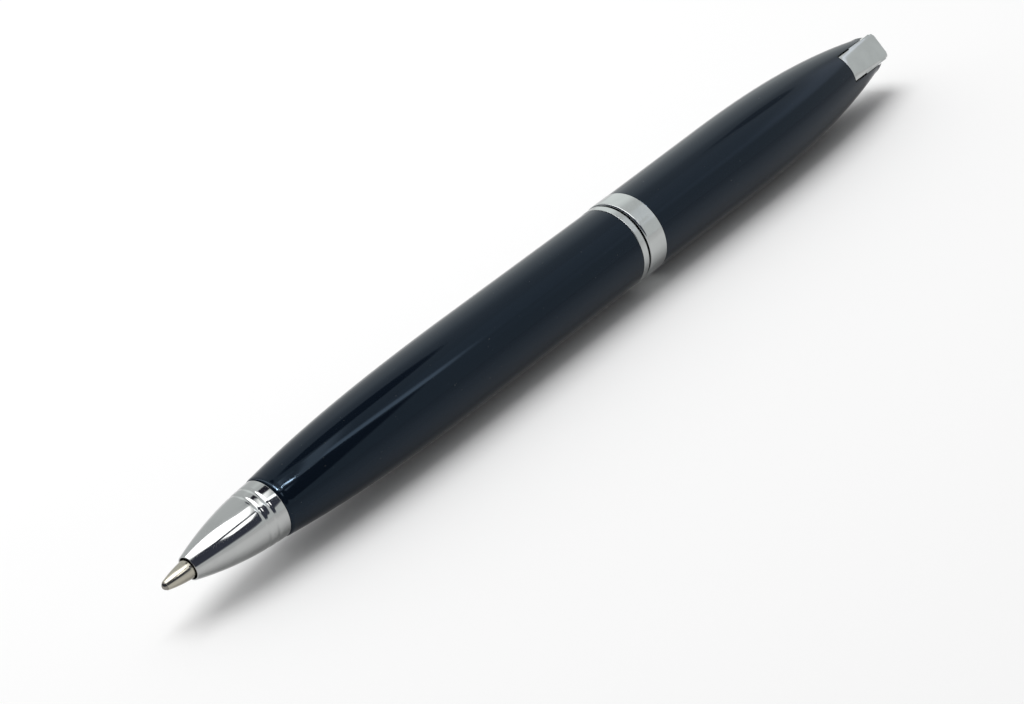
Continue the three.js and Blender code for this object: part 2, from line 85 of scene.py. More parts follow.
# %% Camera
CAMERA_PLACE = Vector((-182.84, -192.83, 137.77)) * MM
CAMERA_LOOK = Vector((0.58893, 0.66059, -0.46561))
CAMERA_TILT = math.radians(-15.015)
camera_data = bpy.data.cameras.new("camera")
camera_data.sensor_width = 36
camera_data.lens = 84.375
camera_data.clip_start = 0.01
camera_data.clip_end = 20
camera = bpy.data.objects.new("camera", camera_data)
camera.location = CAMERA_PLACE
camera.rotation_mode = "QUATERNION"
camera.rotation_quaternion = CAMERA_LOOK.to_track_quat("-Z", "Y") @ Quaternion((0, 0, 1), CAMERA_TILT)
bpy.context.scene.collection.objects.link(camera)
bpy.context.scene.camera = camera
bpy.context.scene.view_settings.view_transform = "Standard"
print("camera is", round(CAMERA_PLACE.length / MM), "mm from the middle of the pen's footprint")

# %% [markdown]
# Materials are node trees. Wiring Math nodes by hand hides the idea, so a small class stands for a socket
# and lets Python's own operators add the nodes: `1 - mask` becomes a Subtract node. Every other node comes
# from one method, which takes the node's type, its settings and the values of its sockets.

# %% Shader maths as arithmetic


class Value:
    """A number that changes over the surface, held by a node's output."""

    def __init__(self, bench, socket):
        self.bench = bench
        self.socket = socket

    def math(self, operation, *others):
        sockets = {0: self, **{place: other for place, other in enumerate(others, 1)}}
        return self.bench.node("ShaderNodeMath", {"operation": operation}, sockets)

    def __add__(self, other):
        return self.math("ADD", other)

    def __mul__(self, other):
        return self.math("MULTIPLY", other)

    def __sub__(self, other):
        return self.math("SUBTRACT", other)

    def __truediv__(self, other):
        return self.math("DIVIDE", other)

    def __rsub__(self, other):
        return self.bench.node("ShaderNodeMath", {"operation": "SUBTRACT"}, {0: other, 1: self})

    __radd__ = __add__
    __rmul__ = __mul__

    def absolute(self):
        return self.math("ABSOLUTE")


class Bench:
    """A node tree that is being filled."""

    def __init__(self, tree):
        self.tree = tree
        tree.nodes.clear()

    def node(self, kind, settings=None, sockets=None, out=0):
        made = self.tree.nodes.new(kind)
        for name, setting in (settings or {}).items():
            setattr(made, name, setting)
        for name, value in (sockets or {}).items():
            if isinstance(value, Value):
                self.tree.links.new(value.socket, made.inputs[name])
            else:
                made.inputs[name].default_value = value
        return Value(self, made.outputs[out]) if len(made.outputs) else made

    def mix(self, factor, first, second):
        settings = {"data_type": "RGBA"}
        return self.node("ShaderNodeMix", settings, {0: factor, 6: first, 7: second}, out=2)

    def ease(self, value, start, end, low=0.0, high=1.0):
        """A soft step from low to high while value goes from start to end."""
        sockets = {"Value": value, 1: start, 2: end, 3: low, 4: high}
        return self.node("ShaderNodeMapRange", {"interpolation_type": "SMOOTHSTEP"}, sockets)


def rgb(red, green, blue):
    return (red, green, blue, 1.0)


# %% [markdown]
# Polished metal and lacquer have hardly any colour of their own: what the eye sees is the room in them. A
# product photographer builds that room on purpose, with bright cloths for the streaks and dark cards for
# the black ones. Here the room is the world's own shader. A reflected ray reads what is painted on it, and
# a ray that only spreads light finds a plain level instead. The far walls are painted first, by their
# compass direction and height in degrees.

# %% Walls of the studio
WALL = rgb(0.61, 0.63, 0.63)
PANELS = [
    # what it is, azimuth and elevation of its middle, half its width and height, edge, colour
    ("far bright wall", 36, 25, 20, 22, 8, rgb(0.88, 0.92, 0.91)),
    ("cool window light", -36, 41, 12, 5, 3, rgb(0.64, 0.66, 0.72)),
]
world = bpy.data.worlds.new("studio")
world.use_nodes = True
world.cycles.sampling_method = "NONE"
bpy.context.scene.world = world
room = Bench(world.node_tree)
direction = room.node("ShaderNodeTexCoord", out="Generated")
direction_parts = room.node("ShaderNodeSeparateXYZ", None, {0: direction}).socket.node
east, north, height = (Value(room, direction_parts.outputs[name]) for name in "XYZ")
azimuth = north.math("ARCTAN2", east) * math.degrees(1)
elevation = height.math("ARCSINE") * math.degrees(1)
reflected = WALL
for _, middle_azimuth, middle_elevation, half_width, half_height, edge, colour in PANELS:
    aside = (azimuth - middle_azimuth).absolute()
    above = (elevation - middle_elevation).absolute()
    inside = room.ease(aside, half_width + edge, half_width - edge)
    inside = inside * room.ease(above, half_height + edge, half_height - edge)
    reflected = room.mix(inside, reflected, colour)
print(len(PANELS), "lights on the walls")

# %% [markdown]
# Everything else is painted on an imagined flat ceiling. A direction divided by its own height is the
# place where it meets a ceiling one metre up: across is measured along the pen, and back away from the
# camera. What is straight on the ceiling is straight there too. An edge is a pair of places, where the
# paint is bare and where it is full, so a wide pair makes a soft edge.

# %% Places on the ceiling
LOWEST_HEIGHT = 0.05
OVAL_EDGE = (1.2, 0.8)
over = height.math("MAXIMUM", LOWEST_HEIGHT)
across, back = east / over, north / over


def between(value, first_edge, last_edge):
    """One from the first edge to the last, each a pair of a bare and a full place."""
    return room.ease(value, *first_edge) * room.ease(value, *last_edge)


def oval(middle_across, middle_back, half_across, half_back):
    off_across = (across - middle_across) / half_across
    off_back = (back - middle_back) / half_back
    return room.ease(off_across * off_across + off_back * off_back, *OVAL_EDGE)


def shortfall(value, edge):
    """How far a value stays below an edge, squared, which bends the straight side of a cloth."""
    short = (edge - value).math("MAXIMUM", 0.0)
    return short * short


def grey(value):
    return room.node("ShaderNodeCombineColor", None, {0: value, 1: value, 2: value})


# %% [markdown]
# One large dark card makes the black bands on the nose and on the front of the lacquer. Its long side
# slants across the ceiling, so that edge is set on a slanted measure, called lean. Oval patches then
# darken or lighten single places: each shows as a long thin leaf on a barrel.

# %% Dark card and oval patches
CARD_SLANT = 0.72
CARD_SIDE = (-0.30, -0.40)
CARD_END_SLANT = 0.15
CARD_END = (0.76, 0.68)
CARD_OTHER_END = (-0.24, -0.40)
CARD_FOOT_DEGREES = (3, 12)
CARD_COLOUR = rgb(0.050, 0.055, 0.075)
OVALS = [
    # what it is, its middle across and back, half its size across and back, density, colour
    ("pale patch over the rings", 1.00, -0.62, 0.42, 0.42, 1.0, rgb(0.69, 0.72, 0.74)),
    ("dark leaf on the lower barrel", 0.50, 0.10, 0.17, 0.20, 1.0, rgb(0.02, 0.02, 0.03)),
    ("dark leaf on the upper barrel", 1.08, -0.02, 0.17, 0.13, 0.6, rgb(0.02, 0.03, 0.04)),
]
lean = back + across * CARD_SLANT
card = room.ease(lean, *CARD_SIDE) * room.ease(across + back * CARD_END_SLANT, *CARD_END)
card = card.math("MAXIMUM", room.ease(across, *CARD_OTHER_END)) * room.ease(elevation, *CARD_FOOT_DEGREES)
reflected = room.mix(card, reflected, CARD_COLOUR)
for _, *oval_place, density, colour in OVALS:
    reflected = room.mix(oval(*oval_place) * density, reflected, colour)
print(len(OVALS), "oval patches on the ceiling")

# %% [markdown]
# Four bright things hang there too. A broad pale wall lightens the lacquer near the clip. A slanted strip
# makes the light streak along the lower barrel. Two cloths make the two white strips on the nose: the
# first has bent sides and is brightest where only the nose sees it, and the second comes to a point.

# %% Bright cloths
END_WALL_COLOUR = rgb(0.95, 1.00, 1.08)
STREAK_COLOUR = rgb(2.5, 2.6, 2.7)
SECOND_COLOUR = rgb(2.4, 2.4, 2.4)
END_WALL_ACROSS = (1.15, 1.60), (2.45, 1.85)
END_WALL_BACK = (-1.9, -0.9), (0.5, -0.1)
STREAK_LEAN = (-0.37, -0.33), (-0.12, -0.24)
STREAK_ACROSS = (0.41, 0.47), (1.0, 0.8)
FIRST_ACROSS = (-0.13, -0.07), (0.50, 0.42)
NOSE_LEVEL = 3.2
LACQUER_LEVEL = 0.6
COLLAR_LEVEL = 1.1
CLOTH_EDGE = 0.03
SECOND_POINT = -0.90
SECOND_TAPER = 0.25
SECOND_BACK = (-1.42, -1.32), (-0.85, -0.91)
SECOND_ACROSS = (0.02, 0.06), (0.42, 0.38)
end_wall = between(across, *END_WALL_ACROSS) * between(back, *END_WALL_BACK)
reflected = room.mix(end_wall, reflected, END_WALL_COLOUR)
streak = between(lean, *STREAK_LEAN) * between(across, *STREAK_ACROSS)
reflected = room.mix(streak, reflected, STREAK_COLOUR)
# How far back the two bent sides of the first cloth lie, for each place across
far_side = shortfall(across, 0.28) * 18 - 0.14
near_side = shortfall(across, 0.03) * 20 - across * 0.3 - 0.62
first_cloth = room.ease(back - near_side, -CLOTH_EDGE, CLOTH_EDGE)
first_cloth = first_cloth * room.ease(back - far_side, CLOTH_EDGE, -CLOTH_EDGE)
first_cloth = first_cloth * between(across, *FIRST_ACROSS)
first_level = room.ease(across, 0.26, 0.34, NOSE_LEVEL, LACQUER_LEVEL)
first_level = first_level + room.ease(across, 0.35, 0.39) * COLLAR_LEVEL
reflected = room.mix(first_cloth, reflected, grey(first_level))
pointed = across - (back - SECOND_POINT).absolute() * SECOND_TAPER
second_cloth = room.ease(pointed, *SECOND_ACROSS[0]) * room.ease(across, *SECOND_ACROSS[1])
second_cloth = second_cloth * between(back, *SECOND_BACK)
reflected = room.mix(second_cloth, reflected, SECOND_COLOUR)
print("the brightest cloth is", NOSE_LEVEL, "times as bright as white paper")

# %% [markdown]
# The last step chooses by the kind of ray. The camera sees plain white, shiny pieces see the painted room,
# and matt pieces are lit by a grey level that rises from the camera's side to the far side.

# %% What each kind of ray sees
NEAR_LEVEL = 0.20
FAR_LEVEL = 1.05
room_ray = room.node("ShaderNodeLightPath", out="Is Camera Ray").socket.node
seen = Value(room, room_ray.outputs["Is Camera Ray"]) + Value(room, room_ray.outputs["Is Transmission Ray"])
even_level = room.ease(north, -0.6, 0.6, NEAR_LEVEL, FAR_LEVEL)
level = room.mix(Value(room, room_ray.outputs["Is Glossy Ray"]), grey(even_level), reflected)
level = room.mix(seen.math("MINIMUM", 1.0), level, rgb(1, 1, 1))
background = room.node("ShaderNodeBackground", None, {"Color": level, "Strength": 1.0})
room.node("ShaderNodeOutputWorld", None, {"Surface": background})
print("the even light goes from", NEAR_LEVEL, "on the camera's side to", FAR_LEVEL, "on the far side")

# %% [markdown]
# What is painted above shows only in shiny pieces, and an even level throws no clear shadow. So one real
# lamp hangs behind the pen, and reflections skip it. A lamp's watts alone say little, so its power is
# worked out from the brightness its face would have: brightness is power over area. Three small bulbs do
# show, and they leave the glints at the front of the lacquer. Light linking limits them to the lacquered
# pieces, because they would flare on the bright metal.

# %% Lamps
LAMP_HEIGHT = 0.5
LAMP_TURN = math.radians(16.7)
LAMPS = [
    # name, place on the ceiling, width and length in metres, brightness, whether it is mirrored
    ("soft_box", (0.12, 0.31), 0.30, 0.44, 3.4, False),
    ("wide_bulb", (0.10, -0.22), 0.13, 0.22, 16, True),
    ("hot_bulb", (0.14, -0.47), 0.08, 0.05, 120, True),
    ("side_bulb", (0.36, -0.56), 0.008, 0.07, 50, True),
]
over_nose = axis_point + Vector((9 * MM, 0, 0))
lacquer_pieces = bpy.data.collections.new("lacquer_pieces")


def hang_lamp(name, ceiling_place, width, length, brightness, mirrored):
    data = bpy.data.lights.new(name, "AREA")
    data.shape = "RECTANGLE"
    data.size, data.size_y = width, length
    data.energy = brightness * math.pi * width * length
    lamp = bpy.data.objects.new(name, data)
    lamp.location = over_nose + Vector((*ceiling_place, 1)) * LAMP_HEIGHT
    lamp.rotation_euler = (0, 0, LAMP_TURN)
    lamp.visible_camera = False
    lamp.visible_glossy = mirrored
    lamp.visible_diffuse = not mirrored
    if mirrored:
        lamp.light_linking.receiver_collection = lacquer_pieces
    bpy.context.scene.collection.objects.link(lamp)
    print(name, "gives", round(data.energy, 3), "W")


for lamp_settings in LAMPS:
    hang_lamp(*lamp_settings)

# %% [markdown]
# The floor is a pale table that runs on past the view. Near the pen it is a plain matt surface, so that it
# takes the pen's soft shadow. To the camera it glows with distance until it is pure white, which hides
# where it ends. In reflections it is a greyer table with a little of that glow. Its grey there is painted
# light: it is paler within about 12 mm in front of the pen and behind it than further out on the camera's
# side, which lifts the shade beside the pen. Its glow there is painted shade: it is least right beside the
# pen, where a real table lies in shade. The glow never lights the pen.

# %% Floor
FLOOR_HALF = 3.0
FLOOR_COLOUR = rgb(0.95, 0.95, 0.95)
# Each of the next three is a soft step: where it starts and ends, then its value before and after
MIRRORED_FLOOR_PAINTED_LIGHT = (-50 * MM, -12 * MM, 0.50, 0.66)
MIRRORED_GLOW = (3 * MM, 13 * MM, 0.08, 0.24)
CAMERA_GLOW = (0.20, 0.60, 0.01, 1.0)
floor_mesh = bpy.data.meshes.new("floor")
corners = [(-FLOOR_HALF, -FLOOR_HALF, 0), (FLOOR_HALF, -FLOOR_HALF, 0),
           (FLOOR_HALF, FLOOR_HALF, 0), (-FLOOR_HALF, FLOOR_HALF, 0)]
floor_mesh.from_pydata(corners, [], [(0, 1, 2, 3)])
floor = bpy.data.objects.new("floor", floor_mesh)
bpy.context.scene.collection.objects.link(floor)
floor_material = bpy.data.materials.new("pale_floor")
floor_material.use_nodes = True
ground = Bench(floor_material.node_tree)
floor_place = ground.node("ShaderNodeTexCoord", out="Object")
floor_parts = ground.node("ShaderNodeSeparateXYZ", None, {0: floor_place}).socket.node
along_floor, across_floor = (Value(ground, floor_parts.outputs[name]) for name in "XY")
floor_ray = ground.node("ShaderNodeLightPath", out="Is Camera Ray").socket.node
camera_ray, clear_ray, glossy_ray = (
    Value(ground, floor_ray.outputs[f"Is {kind} Ray"]) for kind in ("Camera", "Transmission", "Glossy"))
# Painted light: reflections see the table paler near the pen than out on the camera's side.
mirrored_painted_level = ground.ease(across_floor, *MIRRORED_FLOOR_PAINTED_LIGHT)
mirrored_painted_tint = ground.node("ShaderNodeCombineColor", None, {
    0: mirrored_painted_level, 1: mirrored_painted_level, 2: mirrored_painted_level})
matt = ground.node("ShaderNodeBsdfPrincipled", None, {
    "Base Color": ground.mix(glossy_ray, FLOOR_COLOUR, mirrored_painted_tint), "Roughness": 1.0,
    "Specular IOR Level": 0.0})
glow = ground.node("ShaderNodeEmission", None, {"Color": rgb(1, 1, 1), "Strength": 1.0})
distance = (along_floor * along_floor + across_floor * across_floor).math("SQRT")
# Painted shade: reflections see less glow right beside the pen.
mirrored_share = glossy_ray * ground.ease(across_floor.absolute(), *MIRRORED_GLOW)
seen_share = (camera_ray + clear_ray) * ground.ease(distance, *CAMERA_GLOW)
glow_share = (seen_share + mirrored_share).math("MINIMUM", 1.0)
floor_surface = ground.node("ShaderNodeMixShader", None, {0: glow_share, 1: matt, 2: glow})
ground.node("ShaderNodeOutputMaterial", None, {"Surface": floor_surface})
floor.data.materials.append(floor_material)
print("floor is", 2 * FLOOR_HALF, "m wide")

# %% [markdown]
# Every finish needs to know where it is on the pen: dust drifts along a barrel, and turning marks run
# round it. One Mapping node takes the room's coordinates back into the pen's own frame, in millimetres,
# and all the patterns below are written there.

# %% Where on the pen a point is


def start_material(name):
    material = bpy.data.materials.new(name)
    material.use_nodes = True
    bench = Bench(material.node_tree)
    room_place = bench.node("ShaderNodeTexCoord", out="Object")
    into_pen = PEN.inverted()
    settings = {"vector_type": "POINT"}
    sockets = {"Vector": room_place, "Location": into_pen.to_translation(),
               "Rotation": into_pen.to_euler(), "Scale": into_pen.to_scale()}
    return material, bench, bench.node("ShaderNodeMapping", settings, sockets)


def pattern(bench, place, scale, detail=2.0, stretch=(1, 1, 1)):
    """Noise from 0 to 1 on the pen's own millimetres, stretched along the pen, across it and up."""
    spread = bench.node("ShaderNodeVectorMath", {"operation": "MULTIPLY"}, {0: place, 1: stretch})
    sockets = {"Vector": spread, "Scale": scale, "Detail": detail}
    return bench.node("ShaderNodeTexNoise", {}, sockets, out="Fac")


def bump(bench, height_field, distance):
    """A normal from a height, whose full step is distance millimetres."""
    return bench.node("ShaderNodeBump", None, {
        "Height": height_field, "Distance": distance * MM, "Strength": 1.0})


def end_material(bench, sockets):
    surface = bench.node("ShaderNodeBsdfPrincipled", None, sockets)
    bench.node("ShaderNodeOutputMaterial", None, {"Surface": surface})


# %% [markdown]
# The barrels are brass tubes under near-black navy lacquer. A lacquer reflects little where it is seen from
# straight above and much where it is seen from the side, so it is a plain glossy shader and not a metal
# one. The gloss itself is tinted, because reflections on the real pen are bluer than the room. A used pen
# also has faint dust, hairlines from a pocket and the slight orange peel of sprayed lacquer.

# %% Lacquer


def make_lacquer():
    material, bench, place = start_material("navy_lacquer")
    cloud = pattern(bench, place, 0.12, 3.0, (0.3, 1, 1))
    colour = bench.mix(cloud, rgb(0.0035, 0.0066, 0.0120), rgb(0.0052, 0.0090, 0.0155))
    specks = pattern(bench, place, 3.2, 1.0)
    dust = bench.ease(specks, 0.77, 0.83)
    colour = bench.mix(dust * 0.5, colour, rgb(0.16, 0.16, 0.15))
    smear = pattern(bench, place, 0.35, 4.0, (0.35, 1, 1))
    hairline = pattern(bench, place, 9.0, 2.0, (0.05, 1, 1))
    roughness = bench.ease(smear, 0.35, 0.75, 0.045, 0.085) + bench.ease(hairline, 0.64, 0.72) * 0.04
    peel = pattern(bench, place, 0.9, 1.0) + pattern(bench, place, 0.25, 1.0) * 2
    relief = peel * 0.9 + bench.ease(hairline, 0.68, 0.72) * -0.12 + dust * 0.6
    end_material(bench, {
        "Base Color": colour, "Roughness": roughness, "IOR": 1.38, "Specular Tint": rgb(0.52, 0.74, 1.0),
        "Normal": bump(bench, relief, 0.0012)})
    return material


lacquer = make_lacquer()
print(lacquer.name, "is made of", len(lacquer.node_tree.nodes), "nodes")

# %% [markdown]
# Three metals show. The nose is polished until it mirrors the room. The rings and the clip have the same
# plate with a satin polish under it, so that they look evenly grey. The writing tip is turned nickel
# silver, warmer in colour and with its turning marks left in.

# %% Polished and satin plate
MARK_PITCH = 0.09


def make_plate(name, colour, roughness, marks):
    """A metal whose fine rings, as a lathe leaves them, are as deep as marks says."""
    material, bench, place = start_material(name)
    cloud = pattern(bench, place, 0.4, 3.0)
    dull = bench.mix(bench.ease(cloud, 0.35, 0.7), colour, rgb(*[part * 0.94 for part in colour[:3]]))
    wear = pattern(bench, place, 2.2, 4.0, (0.3, 1, 1))
    scratch = bench.ease(pattern(bench, place, 7.0, 3.0, (0.12, 1, 1)), 0.66, 0.70)
    rough = bench.ease(wear, 0.3, 0.75, roughness * 0.85, roughness * 1.25)
    rings = pattern(bench, place, 1.0 / MARK_PITCH, 2.0, (1, 0.02, 0.02))
    relief = rings * marks + scratch * -0.2 * marks
    end_material(bench, {
        "Base Color": dull, "Metallic": 1.0, "Roughness": rough, "Normal": bump(bench, relief, 0.0009)})
    return material


mirror_plate = make_plate("mirror_plate", rgb(0.58, 0.59, 0.585), 0.08, 0.3)
satin_plate = make_plate("satin_plate", rgb(0.62, 0.64, 0.635), 0.13, 0.12)
nickel_silver = make_plate("nickel_silver", rgb(0.56, 0.53, 0.45), 0.16, 1.0)
brass = make_plate("turned_brass", rgb(0.70, 0.52, 0.24), 0.28, 1.0)
# Painted shade: the clip's seat is brass painted near black, so the gap under the press plate reads dark.
brass_in_painted_shade = make_plate("brass_in_painted_shade", rgb(0.020, 0.018, 0.016), 0.5, 1.0)
steel = make_plate("satin_steel", rgb(0.50, 0.51, 0.52), 0.30, 1.0)
ball_steel = make_plate("ground_ball", rgb(0.34, 0.32, 0.29), 0.22, 0.2)
metals = (mirror_plate, satin_plate, nickel_silver, brass, brass_in_painted_shade, steel, ball_steel)
print("metals:", ", ".join(metal.name for metal in metals))

# %% [markdown]
# Inside, the friction ring is black rubber and the refill's plug, its carrier and the mechanism's plug are
# moulded in pale plastic. Neither is shiny, and both have a fine grain.

# %% Rubber and plastic


def make_moulded(name, colour, shade, roughness, grain):
    material, bench, place = start_material(name)
    cloud = pattern(bench, place, 0.8, 3.0)
    speckle = pattern(bench, place, 9.0, 3.0)
    end_material(bench, {
        "Base Color": bench.mix(cloud, colour, shade),
        "Roughness": bench.ease(speckle, 0.3, 0.7, roughness, roughness + 0.15),
        "Normal": bump(bench, speckle, grain)})
    return material


rubber = make_moulded("black_rubber", rgb(0.012, 0.012, 0.013), rgb(0.022, 0.022, 0.022), 0.62, 0.008)
plastic = make_moulded("pale_plastic", rgb(0.68, 0.68, 0.65), rgb(0.60, 0.60, 0.57), 0.42, 0.003)
print("moulded:", rubber.name, "and", plastic.name)

# %% [markdown]
# Most of a pen is turned on a lathe, so most of its pieces follow one rule: an outline, swept once round
# the axis. A Screw modifier could do that too, but a Geometry Nodes tree keeps the rule in one place, with
# the number of steps and the finish as named inputs. The outline is a line of points. The tree lays out a
# grid with a column for each point and a row for each step round the pen, and moves every grid point to
# its place. The seam and the points on the axis are then merged.

# %% The turning tree


def turning_tree():
    tree = bpy.data.node_groups.new("turned_on_the_axis", "GeometryNodeTree")
    tree.interface.new_socket("Outline", in_out="INPUT", socket_type="NodeSocketGeometry")
    sides = tree.interface.new_socket("Steps Round", in_out="INPUT", socket_type="NodeSocketInt")
    sides.default_value = 192
    tree.interface.new_socket("Finish", in_out="INPUT", socket_type="NodeSocketMaterial")
    tree.interface.new_socket("Piece", in_out="OUTPUT", socket_type="NodeSocketGeometry")
    bench = Bench(tree)
    given = bench.node("NodeGroupInput").socket.node
    outline, steps, finish = (Value(bench, given.outputs[n]) for n in ("Outline", "Steps Round", "Finish"))
    size = bench.node("GeometryNodeAttributeDomainSize", {"component": "MESH"}, {0: outline}, "Point Count")
    rows = steps + 1
    grid = bench.node("GeometryNodeMeshGrid", None, {"Vertices X": size, "Vertices Y": rows}, "Mesh")
    index = bench.node("GeometryNodeInputIndex")
    column = (index / rows).math("FLOOR")
    row = index - column * rows
    position = bench.node("GeometryNodeInputPosition")
    sampled = bench.node("GeometryNodeSampleIndex", {"data_type": "FLOAT_VECTOR"},
                         {"Geometry": outline, "Value": position, "Index": column})
    parts = bench.node("ShaderNodeSeparateXYZ", None, {0: sampled}).socket.node
    along, radius = Value(bench, parts.outputs["X"]), Value(bench, parts.outputs["Y"])
    angle = row / steps * math.tau
    turned_place = bench.node("ShaderNodeCombineXYZ", None, {
        "X": along, "Y": radius * angle.math("SINE"), "Z": radius * angle.math("COSINE")})
    moved = bench.node("GeometryNodeSetPosition", None, {"Geometry": grid, "Position": turned_place})
    merged = bench.node("GeometryNodeMergeByDistance", None, {"Geometry": moved, "Distance": 0.0005})
    real = bench.node("GeometryNodeRealizeInstances", None, {"Geometry": merged})
    painted = bench.node("GeometryNodeSetMaterial", None, {"Geometry": real, "Material": finish})
    bench.node("NodeGroupOutput", None, {"Piece": painted})
    return tree


turning = turning_tree()
print("the turning tree has", len(turning.nodes), "nodes")

# %% [markdown]
# A tree works as a modifier on some object. The helper puts a short-lived object into the scene, sets the
# tree's inputs, reads the evaluated mesh and throws the object away. What is left is a plain mesh with no
# modifier on it, which is what the export wants.

# %% Growing a plain mesh


def set_input(modifier, name, value):
    """A tree's input is reached by its socket's identifier, not by the name that people read."""
    items = modifier.node_group.interface.items_tree
    socket = next(item for item in items if item.name == name and item.in_out == "INPUT")
    modifier[socket.identifier] = value


def grown(source, tree, inputs):
    """The plain mesh that a tree grows from a source mesh."""
    seed = bpy.data.objects.new("seed", source)
    bpy.context.scene.collection.objects.link(seed)
    modifier = seed.modifiers.new("grow", "NODES")
    modifier.node_group = tree
    for name, value in inputs.items():
        set_input(modifier, name, value)
    evaluated = seed.evaluated_get(bpy.context.evaluated_depsgraph_get())
    mesh = bpy.data.meshes.new_from_object(evaluated)
    bpy.data.objects.remove(seed)
    return mesh


# %% [markdown]
# A real edge is never a knife edge. It has a small round, and that round is what catches the light. A
# Bevel modifier could round the finished mesh, but it is simpler to round the outline before it is turned.
# The outlines below are lists of corners, and one helper rounds each corner with a short arc. It also adds
# a point just before and after the arc, which keeps the long faces beside it flat in their shading. The
# swelling parts are Bezier curves, which need only three or four handles each.

# %% Rounded outlines


def rounded(outline, radius, closed=True, steps=4):
    """An outline of (along, radius) corners with its corners rounded, where the sides are long enough."""
    points = [Vector(corner) for corner in outline]
    smooth = []
    for place, corner in enumerate(points):
        if not closed and place in (0, len(points) - 1):
            smooth.append(corner)
            continue
        to_last = points[place - 1] - corner
        to_next = points[(place + 1) % len(points)] - corner
        turn = math.pi - to_last.angle(to_next)
        reach = min(radius * math.tan(turn / 2), 0.4 * to_last.length, 0.4 * to_next.length)
        if turn < math.radians(12) or corner.y < 1e-6:
            smooth.append(corner)
            continue
        start, end = corner + to_last.normalized() * reach, corner + to_next.normalized() * reach
        smooth.append(start + to_last.normalized() * reach * 0.2)
        for step in range(steps + 1):
            share = step / steps
            smooth.append(start * (1 - share) ** 2 + corner * 2 * share * (1 - share) + end * share ** 2)
        smooth.append(end + to_next.normalized() * reach * 0.2)
    return smooth


def bezier(points, steps):
    """Points on a curve through the first and last of three or four (along, radius) handles."""
    places = []
    order = len(points) - 1
    for step in range(steps + 1):
        share = step / steps
        total = Vector((0.0, 0.0))
        for number, handle in enumerate(points):
            weight = math.comb(order, number) * share ** number * (1 - share) ** (order - number)
            total += Vector(handle) * weight
        places.append(total)
    return places


# %% [markdown]
# The turned faces point in or out, depending on which way the outline runs, and they all have to point
# out. The volume that a mesh encloses tells which: it comes out negative when the mesh is inside out.

# %% Turned meshes


def volume(mesh):
    shape = bmesh.new()
    shape.from_mesh(mesh)
    inside = shape.calc_volume(signed=True)
    shape.free()
    return inside


def outwards(mesh):
    """Turns a closed mesh's faces so that they all point out."""
    shape = bmesh.new()
    shape.from_mesh(mesh)
    bmesh.ops.recalc_face_normals(shape, faces=shape.faces)
    if shape.calc_volume(signed=True) < 0:
        bmesh.ops.reverse_faces(shape, faces=shape.faces)
    shape.to_mesh(mesh)
    shape.free()
    return mesh


def turned_mesh(outline, material, sides=192):
    """The closed mesh that an outline makes when it is turned once round the pen's axis."""
    points = [Vector((point[0], point[1], 0.0)) for point in outline]
    if points[0].y > 1e-6 or points[-1].y > 1e-6:
        points.append(points[0])
    line = bpy.data.meshes.new("outline")
    line.from_pydata(points, [(n, n + 1) for n in range(len(points) - 1)], [])
    return outwards(grown(line, turning, {"Steps Round": sides, "Finish": material}))


# %% [markdown]
# A finished mesh is moved from the pen's frame into the room, while its object stays at the origin.
# Lacquered pieces also join the collection that the bulbs shine on.

# %% Handing a piece over


def place_piece(name, mesh, body, slot, nodes, sharp_angle=40):
    """Moves a finished mesh from the pen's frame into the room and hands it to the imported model's body."""
    mesh.transform(PEN)
    mesh.shade_smooth()
    mesh.set_sharp_from_angle(angle=math.radians(sharp_angle))
    mesh.name = name
    piece = bpy.data.objects.new(name, mesh)
    bpy.context.scene.collection.objects.link(piece)
    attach(piece, body)
    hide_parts(*nodes)
    if slot == "lacquer":
        lacquer_pieces.objects.link(piece)
    print(name, "has", len(mesh.polygons), "faces and", round(volume(mesh) * 1e9, 2), "mm3")
    return piece


# %% [markdown]
# The nose cone is one swelling curve from its rim to the barrel, with two fine grooves turned into it near
# the base. Each groove breaks the long streak of light, which is why they show at all. Rings could be cut
# out of the finished cone, but a dip in the outline is exact and leaves clean faces.

# %% Nose cone
EDGE = 0.06
nose_front, nose_end = along_pen("nose_cone")
JOINT_LINE = along_pen("lower_barrel")[0] + 0.25
NOSE_RIM_RADIUS = 1.5
NOSE_SWELL = (nose_front + 5.8, 3.45)
NOSE_BASE_RADIUS = 3.70
NOSE_BORE = 1.36
NOSE_GAP = 0.03
SPIGOT_RADIUS = 3.1
SPIGOT_BORE = 2.55
CHANNEL_RADIUS = 1.85
SPRING_STEP = 9.2
FRONT_WALL = 3.7
GROOVES = [JOINT_LINE - 2.85, JOINT_LINE - 1.62]
GROOVE_HALF = 0.38
GROOVE_DEPTH = 0.05
nose_curve = bezier([(nose_front, NOSE_RIM_RADIUS), NOSE_SWELL, (JOINT_LINE - NOSE_GAP, NOSE_BASE_RADIUS)],
                    64)


def height_at(curve, along):
    """The radius of a curve of (along, radius) points at one place along the pen."""
    for first, second in zip(curve, curve[1:]):
        if first[0] <= along <= second[0]:
            share = (along - first[0]) / (second[0] - first[0])
            return first[1] + (second[1] - first[1]) * share
    return curve[-1][1]


def with_grooves(curve, grooves, half, depth):
    """A curve with a round-bottomed groove cut at each place."""
    kept = [tuple(p) for p in curve if all(abs(p[0] - at) > 1.3 * half for at in grooves)]
    for at in grooves:
        for step in range(-12, 13):
            along = at + half * 1.2 * step / 12
            share = min(abs(along - at) / half, 1.0)
            dip = depth * (1 - share ** 1.6) ** 2
            kept.append((along, height_at(curve, along) - dip))
    return sorted(kept)


